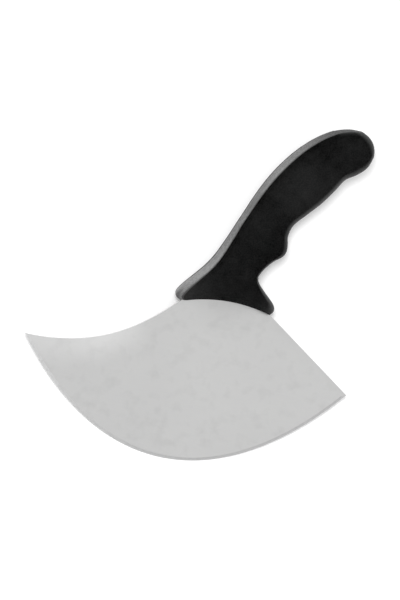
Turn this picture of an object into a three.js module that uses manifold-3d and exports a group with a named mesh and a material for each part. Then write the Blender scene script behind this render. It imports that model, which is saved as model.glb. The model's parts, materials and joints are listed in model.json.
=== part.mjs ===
// A rocker cake knife: a broad crescent blade of sheet steel whose tang is hidden in the handle,
// a hard plastic core moulded round the tang, and a soft grip moulded over the core.
// Millimetres, +Z up. The knife lies at rest on a table, with the origin under the middle of its box.
import * as THREE from "three";
import { mergeVertices } from "three/addons/utils/BufferGeometryUtils.js";
import Module from "manifold-3d";

// Blade, seen square to its face: X runs along the chord from the tip to the heel corner, and Y
// runs towards the handle. Edge and spine are single curves, each set by the angle at which it
// leaves its ends and by how far it is pulled that way.
const bladeChord = 200;
const sheetThickness = 2;
const edgeThickness = 0.3;
const grindWidth = 1.8;
const edgeTipAngle = 51;
const edgeTipPull = 97;
const edgeHeelAngle = 50;
const edgeHeelPull = 100;
const spineTipPull = 40;
const spineNoseAngle = 47;
const spineNosePull = 33.4;

// Bolster, the line where the blade goes into the handle.
const noseReach = 89.1;
const noseRise = 38.2;
const heelRise = 38.8;
const bolsterSpan = 54.3;
const bolsterBow = 4.2;

// The plain rectangle in the middle of each face, where a magnetic rack takes hold.
const rackFaceWidth = 76;
const rackFaceHeight = 34;
const rackFaceReach = 106;
const rackFaceRise = -6;

// Root and tang, the hidden end of the sheet. The tang leans like the handle and tapers to a round end.
const rootInset = 3;
const rootDepth = 5;
const tangStart = -10.7;
const tangLean = 22;
const tangLength = 60;
const tangShoulder = 15;
const tangRootWidth = 17;
const tangEndWidth = 11;
const keyHoleDiameter = 7;
const keyHoleReaches = [26, 48];

// Handle sections, each a line across the handle from its back to its belly. X and Y are counted
// from the middle of the bolster, and the first section is the bolster itself.
const handleSections = [
  { back: [-28.4, 0.8], belly: [28.5, 2] },
  { back: [-29.2, 2.3], belly: [29, 4] },
  { back: [-26.5, 7.3], belly: [27.5, 7.2] },
  { back: [-20.9, 14.3], belly: [20, 14.1] },
  { back: [-15.2, 21.6], belly: [15.1, 20.3] },
  { back: [-11.1, 28.6], belly: [16.7, 25.3] },
  { back: [-8.1, 35.6], belly: [21.8, 31.7] },
  { back: [-5.4, 42.4], belly: [27.9, 36.8] },
  { back: [-2.9, 49.3], belly: [28.9, 41.7] },
  { back: [0.3, 57.2], belly: [27.7, 48.7] },
  { back: [4.1, 66.6], belly: [29.7, 55.6] },
  { back: [9.3, 77.6], belly: [35.9, 62.8] },
  { back: [15.6, 88.1], belly: [43.3, 71.2] },
  { back: [23.8, 98.9], belly: [49.6, 80.1] },
  { back: [33.2, 108], belly: [54.5, 87.8] },
  { back: [43.2, 114.6], belly: [60.2, 91.6] },
  { back: [51.6, 117.3], belly: [65.6, 96.6] },
  { back: [58.9, 117.9], belly: [68.8, 104.1] },
];
const buttBow = 3;
const bolsterBowSections = 5;
const buttBowSections = 3;

// Thickness of the handle, at even steps from the bolster to the butt.
const sideThickness = [27, 22, 19, 20.4, 19];
const landThickness = [27, 21, 15, 17.4, 12];
const bellyRound = 5;
const bellyFlat = 3;
const buttRound = 5;
const bolsterRound = 3;
const landRamp = 8;

// Fullness of a rounded rim: 2 is a quarter circle, and less is flatter, nearer to a chamfer.
const easedFullness = 2;
const rimFullness = 1.5;

// The back is crowned outwards at the nose, and the crown fades along the first part of the handle.
const noseCrown = 2.2;
const crownEnd = 0.3;
const landShares = [0, 0.5, 1];

// Grip and core. The core shows only on the back, between two narrow borders of grip.
const gripWall = 3;
const gripBorder = 0.7;
const gripBelly = 6;
const coreEnd = 0.9;
const windowDiameter = 8;
const windowPlaces = [0.68, 0.8];
const windowShare = 0.45;
const clearance = 0.3;

// How finely curves are cut into flats.
const edgeSteps = 48;
const spineSteps = 16;
const roundSteps = 20;
const sectionSteps = 3;
const buttSteps = 5;
const bolsterSteps = 2;
const rampSteps = 3;
const flatSteps = 6;
const bellySteps = 5;

// Room by which a cutting solid stands past what it cuts.
const overrun = 2;

// The tilt at which the knife lies at rest is looked for from flat up to the steepest.
const steepestTilt = 30;
const tiltSteps = 40;

const wasm = await Module();
wasm.setup();

const degrees = THREE.MathUtils.degToRad;
const halfSheet = sheetThickness / 2;

// The point at a length from an origin, in the direction of an angle.
const polar = (origin, angle, length) =>
  new THREE.Vector2(Math.cos(angle), Math.sin(angle)).multiplyScalar(length).add(origin);

// Builds a closed geometry from corner points and triangles, without the triangles that have no area.
function closedGeometry(points, triangles) {
  const loose = new THREE.BufferGeometry().setFromPoints(points).setIndex(triangles.flat());
  const merged = mergeVertices(loose);
  const index = merged.index.array;
  const kept = [];
  for (let i = 0; i < index.length; i += 3) {
    const [a, b, c] = [index[i], index[i + 1], index[i + 2]];
    if (a !== b && b !== c && c !== a) kept.push(a, b, c);
  }
  return merged.setIndex(kept);
}

// A geometry as a solid that can be joined and cut.
function solidOf(geometry) {
  const bare = geometry.clone();
  bare.deleteAttribute("normal");
  bare.deleteAttribute("uv");
  const merged = mergeVertices(bare);
  const vertProperties = merged.attributes.position.array;
  const triVerts = new Uint32Array(merged.index.array);
  return new wasm.Manifold(new wasm.Mesh({ numProp: 3, vertProperties, triVerts }));
}

// A solid as a geometry again.
function geometryOf(solid) {
  const mesh = solid.getMesh();
  const positions = new THREE.BufferAttribute(new Float32Array(mesh.vertProperties), 3);
  const index = new THREE.BufferAttribute(new Uint32Array(mesh.triVerts), 1);
  return new THREE.BufferGeometry().setAttribute("position", positions).setIndex(index);
}

// A round bar across the knife, centred on the plane of the blade.
function crossBar(centre, diameter, length) {
  const bar = new THREE.CylinderGeometry(diameter / 2, diameter / 2, length, roundSteps);
  bar.rotateX(Math.PI / 2);
  return solidOf(bar.translate(centre.x, centre.y, 0));
}

// The bolster in blade coordinates, and its middle, which is the handle's origin.
const noseRoot = new THREE.Vector2(noseReach, noseRise);
const heelRoot = new THREE.Vector2(noseReach + bolsterSpan, heelRise);
const bolsterMiddle = noseRoot.clone().add(heelRoot).divideScalar(2);

const bolsterHalf = heelRoot.clone().sub(noseRoot).divideScalar(2);
const bolsterSection = {
  back: [-bolsterHalf.x, -bolsterHalf.y],
  belly: [bolsterHalf.x, bolsterHalf.y],
};
const sections = [bolsterSection, ...handleSections];
const flatCurve = (side) =>
  new THREE.CatmullRomCurve3(sections.map((section) => new THREE.Vector3(...section[side], 0)));
const backRail = flatCurve("back");
const bellyRail = flatCurve("belly");
const valueCurve = (values) => new THREE.SplineCurve(values.map((value, i) => new THREE.Vector2(i, value)));
const sideCurve = valueCurve(sideThickness);
const landCurve = valueCurve(landThickness);

// How far the middle of a section bows towards the butt: at the bolster, and again at the butt.
// The bow is a low arch, from 0 at both ends of the section to its height in the middle.
const bolsterBowEnd = bolsterBowSections / (sections.length - 1);
const buttBowStart = 1 - buttBowSections / (sections.length - 1);
const arch = (share) => 4 * share * (1 - share);
function sectionBow(place) {
  const atBolster = bolsterBow * (1 - THREE.MathUtils.smoothstep(place, 0, bolsterBowEnd));
  const atButt = buttBow * THREE.MathUtils.smoothstep(place, buttBowStart, 1);
  return atBolster + atButt;
}

// A section of the handle: its length, and the point at a given depth from the back.
function sectionAt(place) {
  const back = backRail.getPoint(place);
  const across = bellyRail.getPoint(place).sub(back);
  const length = across.length();
  across.normalize();
  const towardsButt = new THREE.Vector3(-across.y, across.x, 0);
  const pointAt = (depth) => {
    const bow = sectionBow(place) * arch(depth / length);
    return back.clone().addScaledVector(across, depth).addScaledVector(towardsButt, bow);
  };
  return { length, pointAt };
}

// Rounds a thickness off towards an edge: 0 at the edge, 1 from one radius inwards.
function roundOff(distance, radius, fullness) {
  const inside = 1 - Math.min(Math.max(distance / radius, 0), 1);
  return (1 - inside ** fullness) ** (1 / fullness);
}

// Half the handle's thickness at a depth of a section. The back is a flat land, from which the
// sides swell a little. The belly and the butt are rounded, and the rim of the bolster is eased.
const middleOf = (section) => section.pointAt(section.length / 2);
const bolsterFace = middleOf(sectionAt(0));
const buttMiddle = middleOf(sectionAt(1));
function handleHalf(place, depth, section) {
  const land = landCurve.getPoint(place).y / 2;
  const side = sideCurve.getPoint(place).y / 2;
  const toBolster = middleOf(section).distanceTo(bolsterFace);
  const eased = bolsterRound * (1 - roundOff(toBolster, bolsterRound, easedFullness));
  const full = land + (side - land) * roundOff(depth, landRamp, easedFullness) - eased;
  const toButt = middleOf(section).distanceTo(buttMiddle);
  const edge = bellyFlat / 2;
  const atBelly = roundOff(section.length - depth, bellyRound, rimFullness);
  const atButt = roundOff(toButt, buttRound, rimFullness);
  return edge + (full - edge) * atBelly * atButt;
}

// Joins rings of equal count into a closed body. Each ring runs along the top and back along the
// underside, so its ends are closed by strips between the two.
function loft(rings) {
  const count = rings[0].length;
  const triangles = [];
  const quad = (a, b, c, d) => triangles.push([a, b, c], [a, c, d]);
  for (let i = 0; i + 1 < rings.length; i++) {
    for (let j = 0; j < count; j++) {
      const next = (j + 1) % count;
      quad(i * count + j, i * count + next, (i + 1) * count + next, (i + 1) * count + j);
    }
  }
  const last = (rings.length - 1) * count;
  for (let j = 0; j + 1 < count / 2; j++) {
    const under = count - 1 - j;
    quad(j, under, under - 1, j + 1);
    quad(last + j, last + j + 1, last + under - 1, last + under);
  }
  return closedGeometry(rings.flat(), triangles);
}

// How far the back stands out at a height above the blade's plane: most in the middle of the land,
// and nothing at its rims.
function crownAt(place, section, height) {
  const fade = 1 - THREE.MathUtils.smoothstep(place, 0, crownEnd);
  const share = height / handleHalf(place, 0, section);
  return noseCrown * fade * (1 - share * share);
}

// One ring: points on the crowned back, then points at the further depths, at their half thickness
// above and below the blade's plane.
function ringOf(section, depths, halfAt, crown) {
  const [back, ...further] = depths;
  const land = landShares.map((share) => {
    const height = halfAt(back) * share;
    return section.pointAt(back - crown(height)).setZ(height);
  });
  const side = further.map((depth) => section.pointAt(depth).setZ(halfAt(depth)));
  const top = [...land, ...side];
  const under = top.map((point) => point.clone().setZ(-point.z)).reverse();
  return [...top, ...under];
}

// Even places along the handle from the bolster up to an end, closer together at the bolster's rim.
function placesTo(end) {
  const count = Math.round((sections.length - 1) * sectionSteps * end);
  const even = Array.from({ length: count + 1 }, (_, i) => (end * i) / count);
  const rim = Array.from({ length: bolsterSteps }, (_, i) => {
    const share = 1 - Math.cos((i / bolsterSteps) * (Math.PI / 2));
    return even[1] * share;
  });
  return [...rim, ...even.slice(1)];
}

// Even depths from one depth to another, both included.
const depthsBetween = (from, to, steps) =>
  Array.from({ length: steps + 1 }, (_, i) => from + ((to - from) * i) / steps);

// The outside of the whole handle, with its places closer together where the butt rounds off.
function handleForm() {
  const places = placesTo(1);
  const lastStep = places[places.length - 2];
  for (let i = 1; i < buttSteps; i++) {
    const share = Math.sin((i / buttSteps) * (Math.PI / 2));
    places.splice(places.length - 1, 0, lastStep + (1 - lastStep) * share);
  }
  const rings = places.map((place) => {
    const section = sectionAt(place);
    const flatEnd = section.length - bellyRound;
    const depths = [
      ...depthsBetween(0, landRamp, rampSteps),
      ...depthsBetween(landRamp, flatEnd, flatSteps).slice(1, -1),
      ...depthsBetween(0, Math.PI / 2, bellySteps).map((turn) => flatEnd + bellyRound * Math.sin(turn)),
    ];
    const halfAt = (depth) => handleHalf(place, depth, section);
    return ringOf(section, depths, halfAt, (height) => crownAt(place, section, height));
  });
  return loft(rings);
}

// The core inside the grip. Grown by a clearance, and run out past the back and the bolster, it
// is the room that the grip leaves for it.
function coreForm(grow) {
  const isRoom = grow > 0;
  const rings = placesTo(coreEnd).map((place) => {
    const section = sectionAt(place);
    const end = section.length - gripBelly + grow;
    const depths = [
      ...depthsBetween(0, landRamp, rampSteps),
      ...depthsBetween(landRamp, end, flatSteps).slice(1),
    ];
    if (isRoom) depths.unshift(-noseCrown - overrun);
    const land = handleHalf(place, 0, section) - gripBorder;
    const halfAt = (depth) => {
      const side = handleHalf(place, Math.max(depth, 0), section) - gripWall;
      const share = THREE.MathUtils.smoothstep(depth, 0, landRamp);
      return land + (side - land) * share + grow;
    };
    return ringOf(section, depths, halfAt, (height) => (isRoom ? 0 : crownAt(place, section, height)));
  });
  if (isRoom) {
    const along = backRail.getTangent(coreEnd);
    rings[rings.length - 1].forEach((point) => point.addScaledVector(along, grow));
    rings.unshift(rings[0].map((point) => point.clone().setY(point.y - overrun)));
  }
  return loft(rings);
}

// The line of the bolster's front face, at a distance from the middle of the bolster.
function bolsterFront(x) {
  const [left, right] = [bolsterSection.back, bolsterSection.belly];
  const share = (x - left[0]) / (right[0] - left[0]);
  return left[1] + (right[1] - left[1]) * share + bolsterBow * arch(share);
}

// Root and tang in handle coordinates, from the heel side round the tang's end to the nose side.
const tangAxis = new THREE.Vector2(Math.sin(degrees(tangLean)), Math.cos(degrees(tangLean)));
const tangFoot = new THREE.Vector2(tangStart, bolsterBow / 2);
const tangPoint = (reach) => tangFoot.clone().addScaledVector(tangAxis, reach);
function tangOutline(grow) {
  const side = new THREE.Vector2(tangAxis.y, -tangAxis.x);
  const rootHalf = bolsterHalf.x - rootInset + grow;
  const endHalf = tangEndWidth / 2 + grow;
  const rootSide = tangRootWidth / 2 + grow;
  const endCentre = tangPoint(tangLength - tangEndWidth / 2);
  const sideAngle = Math.atan2(side.y, side.x);
  const halfTurnSteps = roundSteps / 2;
  const end = Array.from({ length: halfTurnSteps + 1 }, (_, i) => {
    const angle = sideAngle + (Math.PI * i) / halfTurnSteps;
    return polar(endCentre, angle, endHalf);
  });
  return [
    new THREE.Vector2(rootHalf, rootDepth + grow),
    tangPoint(tangShoulder).addScaledVector(side, rootSide),
    ...end,
    tangPoint(tangShoulder).addScaledVector(side, -rootSide),
    new THREE.Vector2(-rootHalf, rootDepth + grow),
  ];
}

// The slot that root and tang take up in the handle, with the pillars that fill the keying holes.
function tangSlot() {
  const outline = tangOutline(clearance);
  const front = -bolsterBow - overrun;
  const mouth = [
    new THREE.Vector2(outline[outline.length - 1].x, front),
    new THREE.Vector2(outline[0].x, front),
  ];
  const shape = new THREE.Shape([...outline, ...mouth]);
  const depth = sheetThickness + 2 * clearance;
  const slab = new THREE.ExtrudeGeometry(shape, { depth, bevelEnabled: false });
  const slot = solidOf(slab.translate(0, 0, -depth / 2));
  const pillar = keyHoleDiameter - 2 * clearance;
  return keyHoleReaches.reduce(
    (left, reach) => left.subtract(crossBar(tangPoint(reach), pillar, depth + overrun)),
    slot,
  );
}

// A rim point of the blade: its corner on the face, its corner on the rim, and half the rim's thickness.
const plainRim = (point) => ({ face: point, rim: point, half: halfSheet });

// The blade with its root and tang, outlined once round from the tip along the cutting edge.
function bladeGeometry() {
  const tip = new THREE.Vector2(0, 0);
  const corner = new THREE.Vector2(bladeChord, 0);
  const edge = new THREE.CubicBezierCurve(
    tip,
    polar(tip, degrees(-edgeTipAngle), edgeTipPull),
    polar(corner, Math.PI + degrees(edgeHeelAngle), edgeHeelPull),
    corner,
  );
  const gap = new THREE.Vector2(0, -clearance);
  const spineStart = noseRoot.clone().add(gap);
  const spine = new THREE.CubicBezierCurve(
    spineStart,
    polar(spineStart, Math.PI + degrees(spineNoseAngle), spineNosePull),
    new THREE.Vector2(spineTipPull, 0),
    tip,
  );
  const ground = Array.from({ length: edgeSteps + 1 }, (_, i) => {
    const share = i / edgeSteps;
    const rim = edge.getPoint(share);
    const tangent = edge.getTangent(share);
    const width = i === 0 || i === edgeSteps ? 0 : grindWidth;
    const face = rim.clone().add(new THREE.Vector2(-tangent.y, tangent.x).multiplyScalar(width));
    return { face, rim, half: edgeThickness / 2 };
  });
  const shoulder = (x) => new THREE.Vector2(x, bolsterFront(x)).add(gap);
  const rootHalf = bolsterHalf.x - rootInset;
  const hidden = [shoulder(rootHalf), ...tangOutline(0), shoulder(-rootHalf)].map((point) =>
    point.add(bolsterMiddle),
  );
  const outline = [
    ...ground,
    plainRim(heelRoot.clone().add(gap)),
    ...hidden.map(plainRim),
    ...spine.getPoints(spineSteps).slice(0, -1).map(plainRim),
  ];
  const keyHoles = keyHoleReaches.map((reach) => {
    const centre = tangPoint(reach).add(bolsterMiddle);
    return new THREE.EllipseCurve(centre.x, centre.y, keyHoleDiameter / 2, keyHoleDiameter / 2)
      .getPoints(roundSteps)
      .slice(0, -1);
  });
  const [halfWidth, halfHeight] = [rackFaceWidth / 2, rackFaceHeight / 2];
  const rackFace = [[-1, -1], [1, -1], [1, 1], [-1, 1]].map(
    ([x, y]) => new THREE.Vector2(rackFaceReach + x * halfWidth, rackFaceRise + y * halfHeight),
  );
  return sheetGeometry(outline, keyHoles, rackFace);
}

// A sheet from its outline, its round holes and the plain rectangle inside each face.
function sheetGeometry(outline, holes, rectangle) {
  const points = [];
  const triangles = [];
  const add = (point, z) => points.push(new THREE.Vector3(point.x, point.y, z)) - 1;
  const quad = (a, b, c, d) => triangles.push([a, b, c], [a, c, d]);
  const faceLoops = [outline.map((entry) => entry.face), ...holes, rectangle];
  const ring = THREE.ShapeUtils.triangulateShape(faceLoops[0], faceLoops.slice(1));
  const flat = faceLoops.flat();
  const top = flat.map((point) => add(point, halfSheet));
  const under = flat.map((point) => add(point, -halfSheet));
  ring.forEach(([a, b, c]) => {
    triangles.push([top[a], top[b], top[c]], [under[a], under[c], under[b]]);
  });
  const [a, b, c, d] = rectangle.map((_, i) => flat.length - rectangle.length + i);
  quad(top[a], top[b], top[c], top[d]);
  quad(under[a], under[d], under[c], under[b]);
  const rimTop = outline.map((entry) => add(entry.rim, entry.half));
  const rimUnder = outline.map((entry) => add(entry.rim, -entry.half));
  outline.forEach((_, i) => {
    const next = (i + 1) % outline.length;
    quad(top[i], rimTop[i], rimTop[next], top[next]);
    quad(rimTop[i], rimUnder[i], rimUnder[next], rimTop[next]);
    quad(rimUnder[i], under[i], under[next], rimUnder[next]);
  });
  let start = outline.length;
  holes.forEach((hole) => {
    hole.forEach((_, i) => {
      const [here, next] = [start + i, start + ((i + 1) % hole.length)];
      quad(top[here], top[next], under[next], under[here]);
    });
    start += hole.length;
  });
  return closedGeometry(points, triangles);
}

// The windows through the core, which the grip's plugs fill.
const windowCentre = (place) => {
  const section = sectionAt(place);
  return section.pointAt(section.length * windowShare);
};
const throughHandle = Math.max(...sideThickness) + overrun;
const windows = (diameter) =>
  windowPlaces.map((place) => crossBar(windowCentre(place), diameter, throughHandle));

const slot = tangSlot();
const coreSolid = [slot, ...windows(windowDiameter)].reduce(
  (left, cut) => left.subtract(cut),
  solidOf(coreForm(0)),
);
const coreRoom = windows(windowDiameter - 2 * clearance).reduce(
  (left, plug) => left.subtract(plug),
  solidOf(coreForm(clearance)),
);
const gripSolid = solidOf(handleForm()).subtract(coreRoom).subtract(slot);

const steel = new THREE.MeshStandardMaterial({ color: 0xc8c8c6, roughness: 0.35, metalness: 1 });
const hardPlastic = new THREE.MeshStandardMaterial({ color: 0x1c1c1d, roughness: 0.4, metalness: 0 });
const softPlastic = new THREE.MeshStandardMaterial({ color: 0x121213, roughness: 0.7, metalness: 0 });

function namedMesh(name, geometry, material) {
  const mesh = new THREE.Mesh(geometry, material);
  mesh.name = name;
  return mesh;
}

const blade = namedMesh("blade", bladeGeometry(), steel);
const handle = new THREE.Group();
handle.position.set(bolsterMiddle.x, bolsterMiddle.y, 0);
handle.add(namedMesh("handle_core", geometryOf(coreSolid), hardPlastic));
handle.add(namedMesh("soft_grip", geometryOf(gripSolid), softPlastic));

const knife = new THREE.Group();
knife.add(blade, handle);

// Lying down, the knife rests on its cutting edge and on the underside of the bolster. The tilt
// about X that brings both to one height is found by halving.
function lowest(mesh, tilt) {
  const position = mesh.geometry.attributes.position;
  let low = Infinity;
  for (let i = 0; i < position.count; i++) {
    const y = position.getY(i) + mesh.parent.position.y;
    low = Math.min(low, y * Math.sin(tilt) + position.getZ(i) * Math.cos(tilt));
  }
  return low;
}
let [flattest, steepest] = [0, degrees(steepestTilt)];
const grip = handle.children[1];
for (let i = 0; i < tiltSteps; i++) {
  const tilt = (flattest + steepest) / 2;
  if (lowest(blade, tilt) > lowest(grip, tilt)) flattest = tilt;
  else steepest = tilt;
}
knife.rotation.x = (flattest + steepest) / 2;

// The origin lies on the table, under the middle of the knife's box.
const box = new THREE.Box3().setFromObject(knife, true);
const middle = box.getCenter(new THREE.Vector3());
knife.position.set(-middle.x, -middle.y, -box.min.z);

const part = new THREE.Group();
part.add(knife);
export default part;
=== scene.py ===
# A rocker cake knife lying on a white table: a crescent blade of sheet steel, the hard core of the
# handle, which shows as a strip along its back, and the soft grip moulded over the core.
import json
import math

import bmesh
import bpy
from mathutils import Matrix, Vector
from mathutils.geometry import interpolate_bezier


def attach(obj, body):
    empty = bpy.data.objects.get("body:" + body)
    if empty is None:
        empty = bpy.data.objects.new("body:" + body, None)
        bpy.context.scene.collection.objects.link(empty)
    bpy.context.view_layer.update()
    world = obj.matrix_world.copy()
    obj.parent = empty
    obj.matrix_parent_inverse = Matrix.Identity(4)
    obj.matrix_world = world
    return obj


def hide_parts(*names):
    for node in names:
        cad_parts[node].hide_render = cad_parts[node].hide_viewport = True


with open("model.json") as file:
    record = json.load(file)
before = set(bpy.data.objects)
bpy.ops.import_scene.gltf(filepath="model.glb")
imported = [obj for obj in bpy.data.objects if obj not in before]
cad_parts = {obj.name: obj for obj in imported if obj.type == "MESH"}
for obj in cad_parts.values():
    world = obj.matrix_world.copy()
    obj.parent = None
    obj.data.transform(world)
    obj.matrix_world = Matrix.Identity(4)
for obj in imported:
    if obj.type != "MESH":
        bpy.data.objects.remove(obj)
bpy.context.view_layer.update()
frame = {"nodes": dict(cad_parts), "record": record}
bpy.ops.object.select_all(action="DESELECT")

# The table and the studio. The table is a white light board in a white room. A soft key lamp at the
# upper left throws the shadows, and a wide lamp overhead fills them. The camera looks down from a
# long way off, and the picture has its black level raised a little, which deepens the dark tones.
bpy.ops.mesh.primitive_plane_add(size=12)
table = bpy.context.object
table.name = "table"
light_board = bpy.data.materials.new("light_board")
light_board.use_nodes = True
board_shader = light_board.node_tree.nodes["Principled BSDF"]
board_shader.inputs["Base Color"].default_value = (0.9, 0.9, 0.9, 1)
board_shader.inputs["Roughness"].default_value = 0.8
board_shader.inputs["Specular IOR Level"].default_value = 0.1
board_shader.inputs["Emission Color"].default_value = (1, 1, 1, 1)
board_shader.inputs["Emission Strength"].default_value = 0.12
table.data.materials.append(light_board)

room = bpy.data.worlds.new("white_room")
room.use_nodes = True
room.node_tree.nodes["Background"].inputs["Color"].default_value = (1, 1, 1, 1)
room.node_tree.nodes["Background"].inputs["Strength"].default_value = 0.64
bpy.context.scene.world = room


def soft_lamp(place, width, watts):
    bpy.ops.object.light_add(type="AREA", location=place)
    lamp = bpy.context.object
    lamp.data.shape = "DISK"
    lamp.data.size = width
    lamp.data.energy = watts
    lamp.rotation_euler = place.to_track_quat("Z", "Y").to_euler()
    return lamp


key_lamp = soft_lamp(Vector((-0.55, 0.3, 2)), 0.55, 26)
key_lamp.visible_glossy = False
soft_lamp(Vector((0.45, -0.4, 2)), 3, 7)

camera_distance = 6
camera_lean = Vector((-0.2382, -0.0112, 1))
camera_roll = 0.1864
camera_target = Vector((0.00064, -0.01025, 0.01))
camera_back = camera_lean.normalized()
camera_right = Vector((0, 1, 0)).cross(camera_back).normalized()
camera_up = camera_back.cross(camera_right)
camera_axes = Matrix((camera_right, camera_up, camera_back)).transposed()
bpy.ops.object.camera_add()
camera = bpy.context.object
camera.data.sensor_fit = "VERTICAL"
camera.data.sensor_height = 36
camera.data.lens = 606.71
camera.matrix_world = Matrix.LocRotScale(
    camera_target + camera_back * camera_distance,
    (camera_axes @ Matrix.Rotation(camera_roll, 3, "Z")).to_quaternion(),
    None,
)
bpy.context.scene.camera = camera
view = bpy.context.scene.view_settings
view.view_transform = "Standard"
view.use_curve_mapping = True
view.curve_mapping.black_level = (0.036, 0.036, 0.036)

# The blade is one sheet of stainless steel, cut to a crescent and ground along its rocker edge.
# Its root and its tapered tang are cut from the same sheet, and the handle is moulded round them.
# It lies as the solid does: its place is found from the solid's tip, its tilt from the solid's face.
MM = 0.001
sheet_thickness = 2
edge_thickness = 0.3
grind_width = 1.8
blade_corner = 0.12
merge_reach = 0.001
edge_points = 97
spine_points = 41
tip = Vector((0, 0.9))
heel = Vector((200, 0))
nose_root = Vector((89.6, 38.7))
heel_root = Vector((143.4, 38.8))
bolster_middle = Vector((116.25, 38.5))
bolster_bow = 4.2


def polar(origin, angle, reach):
    return origin + Vector((math.cos(math.radians(angle)), math.sin(math.radians(angle)))) * reach


def from_bolster(across, inwards):
    """A point at a distance across the bolster from its middle, and so far into the handle."""
    return bolster_middle + Vector((across, inwards))


edge_leave = polar(tip, -51.8, 97.7)
edge_arrive = polar(heel, 230, 100)
edge_line = interpolate_bezier(tip, edge_leave, edge_arrive, heel, edge_points)
spine_leave = polar(nose_root, 227, 33.4)
spine_arrive = Vector((40, -0.7))
spine_line = interpolate_bezier(nose_root, spine_leave, spine_arrive, tip, spine_points)

root_half = 24
root_foot = 3
root_depth = 5
tang_lean = 68
tang_length = 54.5
tang_end_half = 5.5
shoulder_height = 15
shoulder_half = 8.5
end_turns = 12
tang_foot = from_bolster(-10.7, bolster_bow / 2)
tang_axis = polar(Vector((0, 0)), tang_lean, 1)
tang_side = Vector((tang_axis.y, -tang_axis.x))
tang_end = tang_foot + tang_axis * tang_length
tang_shoulder = tang_foot + tang_axis * shoulder_height
end_angles = [tang_lean - 90 + 180 * i / end_turns for i in range(end_turns + 1)]
tang_line = [
    from_bolster(root_half, root_depth),
    tang_shoulder + tang_side * shoulder_half,
    *[polar(tang_end, angle, tang_end_half) for angle in end_angles],
    tang_shoulder - tang_side * shoulder_half,
    from_bolster(-root_half, root_depth),
]
root_line = [from_bolster(root_half, root_foot), *tang_line, from_bolster(-root_half, root_foot)]


def inside_edge(i):
    """The point of the face where the ground strip starts, which narrows to nothing at both ends."""
    if i in (0, edge_points - 1):
        return edge_line[i]
    run = (edge_line[i + 1] - edge_line[i - 1]).normalized()
    return edge_line[i] + Vector((-run.y, run.x)) * grind_width


face_line = [inside_edge(i) for i in range(edge_points)]

blade_node = frame["nodes"]["blade"]
tip_reach = 0.01 * MM
tip_side = min(vertex.co.x for vertex in blade_node.data.vertices)
tip_points = [vertex.co for vertex in blade_node.data.vertices if vertex.co.x < tip_side + tip_reach]
tip_place = sum(tip_points, Vector()) / len(tip_points)
face_axis = Vector(frame["record"]["mounts"][0]["axis"])
face_tilt = math.atan2(-face_axis.y, face_axis.z)
rest_place = Matrix.Translation(tip_place) @ Matrix.Rotation(face_tilt, 4, "X")


def sheet_from(line, name):
    bpy.ops.object.select_all(action="DESELECT")
    bpy.ops.mesh.primitive_circle_add(vertices=len(line), fill_type="NGON")
    sheet = bpy.context.object
    sheet.name = name
    for vertex, point in zip(sheet.data.vertices, line):
        vertex.co = (point.x * MM, point.y * MM, 0)
    return sheet


def apply_modifier(piece, kind, **settings):
    bpy.context.view_layer.objects.active = piece
    modifier = piece.modifiers.new(kind.lower(), kind)
    for setting, value in settings.items():
        setattr(modifier, setting, value)
    bpy.ops.object.modifier_apply(modifier=modifier.name)


def break_corners(piece, width):
    """Takes the sharpness off the corners of a piece with a small bevel."""
    sharp = math.radians(50)
    apply_modifier(
        piece, "BEVEL", width=width * MM, segments=2, limit_method="ANGLE", angle_limit=sharp
    )


def place_key(point):
    """A point rounded to a micrometre, so that it can be looked up."""
    return tuple(round(value, 6) for value in point)


blade = sheet_from([*face_line, heel_root, *root_line, *spine_line[:-1]], "steel_blade")
bpy.ops.object.mode_set(mode="EDIT")
bpy.ops.mesh.select_mode(type="EDGE")
bpy.ops.mesh.select_all(action="DESELECT")
mesh = bmesh.from_edit_mesh(blade.data)
for edge in mesh.edges:
    edge.select_set(all(vertex.index < edge_points for vertex in edge.verts))
bmesh.update_edit_mesh(blade.data)
bpy.ops.mesh.extrude_edges_move()
mesh = bmesh.from_edit_mesh(blade.data)
rim = [vertex for vertex in mesh.verts if vertex.select]
for vertex in rim:
    nearest = min(range(edge_points), key=lambda i: (face_line[i] * MM - vertex.co.xy).length)
    vertex.co.xy = edge_line[nearest] * MM
bmesh.update_edit_mesh(blade.data)
bpy.ops.mesh.select_all(action="SELECT")
bpy.ops.mesh.remove_doubles(threshold=merge_reach * MM)
bpy.ops.mesh.normals_make_consistent(inside=False)
bpy.ops.object.mode_set(mode="OBJECT")
rim_keys = {place_key(point * MM) for point in edge_line[1:-1]}
rim_share = edge_thickness / sheet_thickness
sheet_weight = blade.vertex_groups.new(name="sheet")
for vertex in blade.data.vertices:
    on_rim = place_key(vertex.co.xy) in rim_keys
    sheet_weight.add([vertex.index], rim_share if on_rim else 1, "REPLACE")
apply_modifier(blade, "SOLIDIFY", thickness=sheet_thickness * MM, offset=0, vertex_group="sheet")
break_corners(blade, blade_corner)
bpy.ops.object.shade_smooth_by_angle(angle=math.radians(20))
# The ground strip is what slopes, apart from the narrow faces of the broken corners.
flat_normal = 0.97
side_normal = 0.5
narrow_area = (0.5 * MM) ** 2
for polygon in blade.data.polygons:
    sloping = side_normal < abs(polygon.normal.z) < flat_normal
    polygon.material_index = int(sloping and polygon.area > narrow_area)
blade.data.transform(rest_place)


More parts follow.
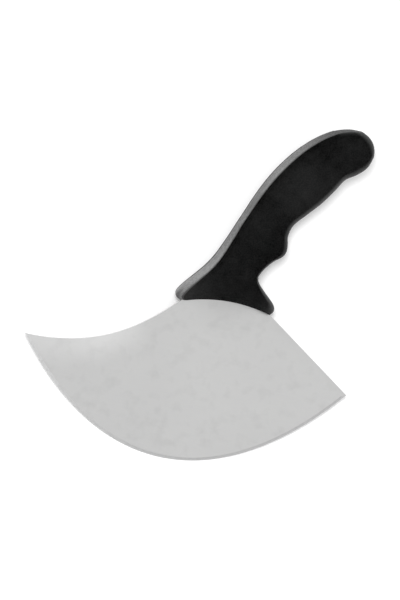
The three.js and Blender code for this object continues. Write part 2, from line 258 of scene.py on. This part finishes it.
class Finish:
    """The nodes of one material, added and joined one at a time."""

    def __init__(self, name):
        self.material = bpy.data.materials.new(name)
        self.material.use_nodes = True
        self.tree = self.material.node_tree
        self.shader = self.tree.nodes["Principled BSDF"]
        self.place = self.tree.nodes.new("ShaderNodeTexCoord").outputs["Object"]

    def set(self, **values):
        for socket, value in values.items():
            self.shader.inputs[socket.replace("_", " ")].default_value = value

    def join(self, output, socket):
        self.tree.links.new(output, self.shader.inputs[socket])

    def noise(self, scale, detail=2, stretch=(1, 1, 1)):
        mapping = self.tree.nodes.new("ShaderNodeMapping")
        mapping.inputs["Scale"].default_value = stretch
        self.tree.links.new(self.place, mapping.inputs["Vector"])
        noise = self.tree.nodes.new("ShaderNodeTexNoise")
        noise.inputs["Scale"].default_value = scale
        noise.inputs["Detail"].default_value = detail
        self.tree.links.new(mapping.outputs["Vector"], noise.inputs["Vector"])
        return noise.outputs["Fac"]

    def ramp(self, value, low, high, at=(0.3, 0.7)):
        ramp = self.tree.nodes.new("ShaderNodeValToRGB")
        for element, place, tone in zip(ramp.color_ramp.elements, at, (low, high)):
            element.position = place
            element.color = (*tone, 1) if isinstance(tone, tuple) else (tone, tone, tone, 1)
        self.tree.links.new(value, ramp.inputs["Fac"])
        return ramp.outputs["Color"]

    def patch(self, spot, reach):
        """A soft round patch: 1 at its middle, and 0 from its reach outwards."""
        away = self.tree.nodes.new("ShaderNodeVectorMath")
        away.operation = "DISTANCE"
        away.inputs[1].default_value = spot
        self.tree.links.new(self.place, away.inputs[0])
        fade = self.tree.nodes.new("ShaderNodeMapRange")
        fade.interpolation_type = "SMOOTHSTEP"
        fade.inputs["From Max"].default_value = reach
        fade.inputs["To Min"].default_value = 1
        fade.inputs["To Max"].default_value = 0
        self.tree.links.new(away.outputs["Value"], fade.inputs["Value"])
        return fade.outputs["Result"]

    def patch_tone(self, spot, reach, middle, outside=0):
        """A tone that goes from one in the middle of a soft round patch to another outside it."""
        return self.ramp(self.patch(spot, reach), outside, middle, at=(0, 1))

    def blend(self, kind, share, first, second):
        mix = self.tree.nodes.new("ShaderNodeMix")
        mix.data_type = "RGBA"
        mix.blend_type = kind
        mix.inputs["Factor"].default_value = share
        self.tree.links.new(first, mix.inputs["A"])
        self.tree.links.new(second, mix.inputs["B"])
        return mix.outputs["Result"]

    def bump(self, height, depth, strength):
        bump = self.tree.nodes.new("ShaderNodeBump")
        bump.inputs["Distance"].default_value = depth
        bump.inputs["Strength"].default_value = strength
        self.tree.links.new(height, bump.inputs["Height"])
        return bump.outputs["Normal"]


satin_steel = Finish("satin_steel")
satin_steel.set(Metallic=1, Anisotropic=0.3)
grain = satin_steel.noise(420, detail=4, stretch=(0.12, 3, 3))
smudges = satin_steel.noise(130, detail=5)
clouds = satin_steel.noise(9, detail=3)
steel_tone = satin_steel.blend(
    "MULTIPLY",
    1,
    satin_steel.ramp(clouds, (0.638, 0.638, 0.636), (0.678, 0.678, 0.674)),
    satin_steel.ramp(smudges, 0.93, 1, at=(0.28, 0.5)),
)
# The sheet has a painted highlight along the spine, and painted shade in the shelter of the bolster.
# Painted highlight: soft brighter patches along the spine.
highlight_reach = 0.02
painted_highlight_spots = [
    ((-0.094, -0.05, 0.008), 0.08),
    ((-0.076, -0.05, 0.008), 0.08),
    ((-0.058, -0.044, 0.009), 0.12),
    ((-0.043, -0.035, 0.01), 0.1),
]
for spot, brighter in painted_highlight_spots:
    painted_highlight = satin_steel.patch_tone(spot, highlight_reach, brighter)
    steel_tone = satin_steel.blend("ADD", 1, steel_tone, painted_highlight)
# Painted shade: a soft darker patch next to the bolster.
painted_bolster_shade = satin_steel.patch_tone((0.014, -0.011, 0.013), 0.022, 0.045)
satin_steel.join(satin_steel.blend("SUBTRACT", 1, steel_tone, painted_bolster_shade), "Base Color")
grain_gloss = satin_steel.ramp(grain, 0.3, 0.42)
smudge_gloss = satin_steel.ramp(smudges, 0.34, 0.44)
satin_steel.join(satin_steel.blend("MIX", 0.5, grain_gloss, smudge_gloss), "Roughness")
satin_steel.join(satin_steel.bump(grain, 0.02 * MM, 0.25), "Normal")
blade.data.materials.append(satin_steel.material)

ground_steel = Finish("ground_steel")
ground_steel.set(Metallic=1)
wheel_marks = ground_steel.noise(900, detail=2, stretch=(1, 0.2, 1))
# The strip is paler towards the tip and darker away from it.
paler_to_tip = ground_steel.patch_tone((-0.1, -0.05, 0.006), 0.14, 1, outside=0.73)
ground_tone = ground_steel.blend("MULTIPLY", 1, ground_steel.ramp(wheel_marks, 0.86, 0.93), paler_to_tip)
ground_steel.join(ground_tone, "Base Color")
ground_steel.join(ground_steel.ramp(wheel_marks, 0.42, 0.55), "Roughness")
blade.data.materials.append(ground_steel.material)
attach(blade, "root")
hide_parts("blade")

# The form of the handle. Core and grip are moulded into one form, so both are cut from blocks
# that are pulled to the same sections: lines across the handle from its back to its belly.
handle_sections = [
    ((-27.15, 0.4), (27.15, 0.3)),
    ((-28.5, 1.3), (28.5, 2)),
    ((-29.1, 2.7), (29, 4)),
    ((-26.5, 7.3), (27.5, 7.2)),
    ((-20.9, 14.3), (20, 14.1)),
    ((-15.2, 21.6), (15.1, 20.3)),
    ((-11.1, 28.6), (16.7, 25.3)),
    ((-8.1, 35.6), (21.8, 31.7)),
    ((-5.4, 42.4), (27.9, 36.8)),
    ((-2.9, 49.3), (28.9, 41.7)),
    ((0.3, 57.2), (27.7, 48.7)),
    ((4.1, 66.6), (29.7, 55.6)),
    ((9.3, 77.6), (35.9, 62.8)),
    ((15.6, 88.1), (43.3, 71.2)),
    ((23.8, 98.9), (49.6, 80.1)),
    ((33.2, 108), (54.5, 87.8)),
    ((43.2, 114.6), (60.2, 91.6)),
    ((51.6, 117.3), (65.6, 96.6)),
    ((58.9, 117.9), (68.8, 104.1)),
]
side_thickness = [27, 22, 19, 20.4, 19]
land_thickness = [27, 21, 15, 17.4, 12]
nose_crown = 2.2
crown_end = 0.3
land_ramp = 8
belly_round = [12, 3.2, 5, 5, 6]
belly_flat = 3
butt_round = 5
butt_bow = 3
butt_bow_sections = 3
bolster_round = 3
bolster_bow_sections = 5
rim_power = 1.5
grip_border = 0.4
wall_limit = 0.8
strip_depth = 2.4
strip_end = 0.905


def smooth_line(points, places):
    """Points on a smooth line through the given ones: place 0 is the first of them, and 1 the last."""
    spans = len(points) - 1
    ends = [points[0] * 2 - points[1], *points, points[-1] * 2 - points[-2]]
    line = []
    for place in places:
        span = min(int(place * spans), spans - 1)
        before, start, stop, after = ends[span : span + 4]
        reach = (stop - start).length / 3
        leave = start + (stop - before).normalized() * reach
        arrive = stop - (after - start).normalized() * reach
        t = place * spans - span
        s = 1 - t
        line.append(start * s**3 + leave * (3 * s * s * t) + arrive * (3 * s * t * t) + stop * t**3)
    return line


def round_off(distance, radius, power=2):
    inside = 1 - min(max(distance / radius, 0), 1)
    return (1 - inside**power) ** (1 / power)


def smooth_step(value, start, stop):
    share = min(max((value - start) / (stop - start), 0), 1)
    return share * share * (3 - 2 * share)


class Section:
    """One line across the handle, with the handle's half thickness at any depth from the back."""

    butt = None
    bolster = None

    def __init__(self, place, back, belly, side, land, rounding):
        self.back = back
        self.length = (belly - back).length
        self.across = (belly - back).normalized()
        self.along = Vector((-self.across.y, self.across.x))
        self.side = side / 2
        self.land = land / 2
        self.rounding = rounding
        spans = len(handle_sections) - 1
        at_bolster = bolster_bow * (1 - smooth_step(place, 0, bolster_bow_sections / spans))
        at_butt = butt_bow * smooth_step(place, 1 - butt_bow_sections / spans, 1)
        self.bow = at_bolster + at_butt
        self.crown = nose_crown * (1 - smooth_step(place, 0, crown_end))
        self.middle = self.point(self.length / 2)

    def point(self, depth):
        share = depth / self.length
        return self.back + self.across * depth + self.along * (self.bow * 4 * share * (1 - share))

    def half(self, depth):
        to_bolster = (self.middle - Section.bolster).length
        eased = bolster_round * (1 - round_off(to_bolster, bolster_round))
        full = self.land + (self.side - self.land) * round_off(depth, land_ramp) - eased
        to_butt = (self.middle - Section.butt).length
        at_belly = round_off(self.length - depth, self.rounding, rim_power)
        rounded = at_belly * round_off(to_butt, butt_round, rim_power)
        edge = belly_flat / 2
        return edge + (full - edge) * rounded


def smooth_values(values, places):
    """Values that go smoothly through the given ones, which stand at even distances."""
    points = [Vector((i, value)) for i, value in enumerate(values)]
    return [point.y for point in smooth_line(points, places)]


def sections_at(places):
    backs = smooth_line([Vector(back) for back, _ in handle_sections], places)
    bellies = smooth_line([Vector(belly) for _, belly in handle_sections], places)
    sides = smooth_values(side_thickness, places)
    lands = smooth_values(land_thickness, places)
    rounds = smooth_values(belly_round, places)
    return [Section(*row) for row in zip(places, backs, bellies, sides, lands, rounds)]


first, last = sections_at([0, 1])
Section.bolster = first.middle
Section.butt = last.middle

# The rows along the handle are closer together where the bolster's rim and the butt round off.
even_rows = 108
close_rows = 3
rim_rows = 8
butt_rows = 10
step = 1 / even_rows
quarter = math.pi / 2
rim_places = [step * close_rows * (1 - math.cos(quarter * i / rim_rows)) for i in range(rim_rows)]
even_places = [step * i for i in range(close_rows, even_rows - close_rows + 1)]
butt_places = [
    1 - step * close_rows * (1 - math.sin(quarter * i / butt_rows)) for i in range(1, butt_rows)
]
places = [*rim_places, *even_places, *butt_places, 1]
core_end = min(range(len(places)), key=lambda i: abs(places[i] - strip_end))
sections = sections_at(places)

# The columns go across the handle from its back to its belly, and the layers through its thickness.
# The outermost layers are the sides, and the next ones are the walls of the channel for the core.
ramp_depths = [0, strip_depth, 4, 5.6, 6.8, land_ramp]
flat_count = 8
belly_count = 10
depth_count = len(ramp_depths) + flat_count + belly_count
levels = [-4, -3, -2, -1, 1, 2, 3, 4]
wall_shares = {1: 0.2, 2: 0.6, 3: 1}


def depth_of(section, column):
    flat_end = section.length - section.rounding
    if column < len(ramp_depths):
        return ramp_depths[column]
    column -= len(ramp_depths) - 1
    if column <= flat_count:
        return land_ramp + (flat_end - land_ramp) * column / flat_count
    return flat_end + section.rounding * math.sin(quarter * (column - flat_count) / belly_count)


def block(name, *counts):
    """A block cut into rows along the handle, columns across it and layers through its thickness."""
    bpy.ops.object.select_all(action="DESELECT")
    bpy.ops.mesh.primitive_cube_add(size=1, location=(0.5, 0.5, 0.5))
    bpy.ops.object.transform_apply()
    piece = bpy.context.object
    piece.name = name
    bpy.ops.object.mode_set(mode="EDIT")
    bpy.ops.mesh.select_mode(type="EDGE")
    for axis, count in enumerate(counts):
        bpy.ops.mesh.select_all(action="DESELECT")
        mesh = bmesh.from_edit_mesh(piece.data)
        for edge in mesh.edges:
            run = edge.verts[1].co - edge.verts[0].co
            edge.select_set(abs(run[axis]) > 0.9)
        bmesh.update_edit_mesh(piece.data)
        if count > 1:
            bpy.ops.mesh.subdivide(number_cuts=count - 1)
    bpy.ops.object.mode_set(mode="OBJECT")
    for vertex in piece.data.vertices:
        vertex.co = [round(vertex.co[i] * count) for i, count in enumerate(counts)]
    return piece


def select_only(piece):
    bpy.ops.object.select_all(action="DESELECT")
    piece.select_set(True)
    bpy.context.view_layer.objects.active = piece


def pull_to_sections(piece, gap=0):
    """Moves the corners of a block from row, column and layer to their places on the handle."""
    for vertex in piece.data.vertices:
        row, column, layer = (round(value) for value in vertex.co)
        section = sections[row]
        depth = depth_of(section, column)
        half = section.half(depth)
        back_half = section.half(0)
        wall = min(back_half - grip_border, wall_limit * half)
        level = abs(levels[layer])
        reach = (wall * wall_shares[level] if level in wall_shares else half) - gap
        crown = section.crown * (1 - (reach / back_half) ** 2) * (1 - min(depth / land_ramp, 1))
        spot = section.point(depth - crown) + bolster_middle
        height = math.copysign(reach, levels[layer])
        vertex.co = rest_place @ (Vector((spot.x, spot.y, height)) * MM)
    select_only(piece)
    bpy.ops.object.mode_set(mode="EDIT")
    bpy.ops.mesh.select_all(action="SELECT")
    bpy.ops.mesh.normals_make_consistent(inside=False)
    bpy.ops.object.mode_set(mode="OBJECT")


def select_faces(piece, test):
    bpy.ops.mesh.select_all(action="DESELECT")
    mesh = bmesh.from_edit_mesh(piece.data)
    for face in mesh.faces:
        face.select_set(all(test(*vertex.co) for vertex in face.verts))
    bmesh.update_edit_mesh(piece.data)


# The soft grip is a matt black rubber, moulded over the core in one shot. It makes both sides of
# the handle, the guard, the groove for the index finger, the belly and the butt, and leaves a
# channel along the back in which the core shows.
grip_corner = 0.18
mouth_reach = 8
tang_room = 0.1


def between_walls(layer):
    return 0.5 < layer < len(levels) - 1.5


def in_channel(row, column, layer):
    return row < core_end + 0.5 and column < 0.5 and between_walls(layer)


def at_mouth(row, column, layer):
    return row < 0.5 and column < 1.5 and between_walls(layer)


grip = block("rubber_grip", len(places) - 1, depth_count - 1, len(levels) - 1)
bpy.ops.object.mode_set(mode="EDIT")
bpy.ops.mesh.select_mode(type="FACE")
select_faces(grip, in_channel)
bpy.ops.mesh.extrude_region_move(TRANSFORM_OT_translate={"value": (0, 1, 0)})
select_faces(grip, at_mouth)
bpy.ops.mesh.delete(type="FACE")
bpy.ops.mesh.select_all(action="SELECT")
bpy.ops.mesh.remove_doubles(threshold=0.1)
bpy.ops.object.mode_set(mode="OBJECT")
pull_to_sections(grip)
break_corners(grip, grip_corner)
apply_modifier(grip, "SUBSURF", levels=1, render_levels=1)

# The room for the blade's root and tang, cut with a slab a little thicker than they are.
mouth = [from_bolster(root_half, -mouth_reach), *tang_line, from_bolster(-root_half, -mouth_reach)]
slab = sheet_from(mouth, "tang_room")
apply_modifier(slab, "SOLIDIFY", thickness=(sheet_thickness + tang_room) * MM, offset=0)
slab.data.transform(rest_place)
apply_modifier(grip, "BOOLEAN", operation="DIFFERENCE", object=slab, solver="EXACT")
bpy.data.objects.remove(slab)
select_only(grip)
bpy.ops.object.shade_smooth_by_angle(angle=math.radians(35))

soft_rubber = Finish("soft_rubber")
soft_rubber.set(Specular_IOR_Level=0.5)
stipple = soft_rubber.noise(1400, detail=3)
mottle = soft_rubber.noise(160, detail=4)
handling = soft_rubber.noise(35, detail=3)
rubber_tone = soft_rubber.blend(
    "ADD",
    1,
    soft_rubber.ramp(mottle, 0.008, 0.012),
    soft_rubber.ramp(handling, 0, 0.002, at=(0.5, 0.75)),
)
grit = soft_rubber.ramp(stipple, 0, 0.006, at=(0.35, 0.65))
rubber_tone = soft_rubber.blend("ADD", 1, rubber_tone, grit)
# Painted sheen where the rubber shows paler, the middle spot also palm wear: each spot, its reach and
# its amount.
sheen_and_wear_spots = [
    ((-0.014, -0.012, 0.02), 0.032, 0.012),
    ((0.045, 0.064, 0.031), 0.028, 0.007),
    ((0.0385, -0.0085, 0.0205), 0.01, 0.009),
]
for spot, reach, paler in sheen_and_wear_spots:
    # Painted sheen, partly wear: the rubber made paler in a soft patch.
    sheen_and_wear = soft_rubber.patch_tone(spot, reach, paler)
    rubber_tone = soft_rubber.blend("ADD", 1, rubber_tone, sheen_and_wear)
soft_rubber.join(rubber_tone, "Base Color")
soft_rubber.join(soft_rubber.ramp(handling, 0.62, 0.54), "Roughness")
soft_rubber.join(soft_rubber.bump(stipple, 0.08 * MM, 0.35), "Normal")
grip.data.materials.append(soft_rubber.material)
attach(grip, "root")
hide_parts("soft_grip")

# The core is hard black plastic, moulded round the tang before the grip. It shows only as a satin
# strip, flush with the back of the grip, from the nose to a square end short of the butt.
strip_gap = 0.05
strip_corner = 0.15
strip = block("core_strip", core_end, 1, len(levels) - 3)
for vertex in strip.data.vertices:
    vertex.co.z += 1
pull_to_sections(strip, gap=strip_gap)
break_corners(strip, strip_corner)
bpy.ops.object.mode_set(mode="EDIT")
bpy.ops.mesh.select_all(action="SELECT")
bpy.ops.mesh.remove_doubles(threshold=merge_reach * MM)
bpy.ops.object.mode_set(mode="OBJECT")
bpy.ops.object.shade_smooth_by_angle(angle=math.radians(35))

hard_plastic = Finish("hard_plastic")
hard_plastic.set(Specular_IOR_Level=0.6)
orange_peel = hard_plastic.noise(700, detail=2)
rubbed = hard_plastic.noise(45, detail=4)
mould_grain = hard_plastic.noise(750, detail=2)
plastic_tone = hard_plastic.blend(
    "ADD",
    1,
    hard_plastic.ramp(rubbed, 0.016, 0.032),
    hard_plastic.ramp(mould_grain, 0, 0.088, at=(0.4, 0.6)),
)
plastic_gloss = hard_plastic.ramp(rubbed, 0.3, 0.42)
# Where the strip is painted paler as a sheen, and where it is painted darker as shade and is also
# rougher: each spot with its reach and its amounts.
painted_sheen_spots = [((-0.001, 0.0077, 0.0153), 0.03, 0.08), ((0.031, 0.074, 0.023), 0.02, 0.03)]
for spot, reach, paler in painted_sheen_spots:
    # Painted sheen: the strip made paler in a soft patch.
    painted_sheen = hard_plastic.patch_tone(spot, reach, paler)
    plastic_tone = hard_plastic.blend("ADD", 1, plastic_tone, painted_sheen)
shade_and_rough_spots = [
    ((-0.0123, -0.0115, 0.0135), 0.0085, 0.05, 0.3),
    ((0.0184, 0.0513, 0.0205), 0.012, 0.6, 0.04),
    ((0.066, 0.1045, 0.0268), 0.042, 0.5, 0.26),
]
for spot, reach, tone_left, rougher in shade_and_rough_spots:
    # Painted shade: the strip's colour is darkened in a soft patch, where it is also made rougher.
    shade_and_rough = hard_plastic.patch(spot, reach)
    painted_shade = hard_plastic.ramp(shade_and_rough, 1, tone_left, at=(0, 1))
    plastic_tone = hard_plastic.blend("MULTIPLY", 1, plastic_tone, painted_shade)
    roughening = hard_plastic.ramp(shade_and_rough, 0, rougher, at=(0, 1))
    plastic_gloss = hard_plastic.blend("ADD", 1, plastic_gloss, roughening)
hard_plastic.join(plastic_tone, "Base Color")
hard_plastic.join(plastic_gloss, "Roughness")
hard_plastic.join(hard_plastic.bump(orange_peel, 0.03 * MM, 0.2), "Normal")
strip.data.materials.append(hard_plastic.material)
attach(strip, "root")
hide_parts("handle_core")
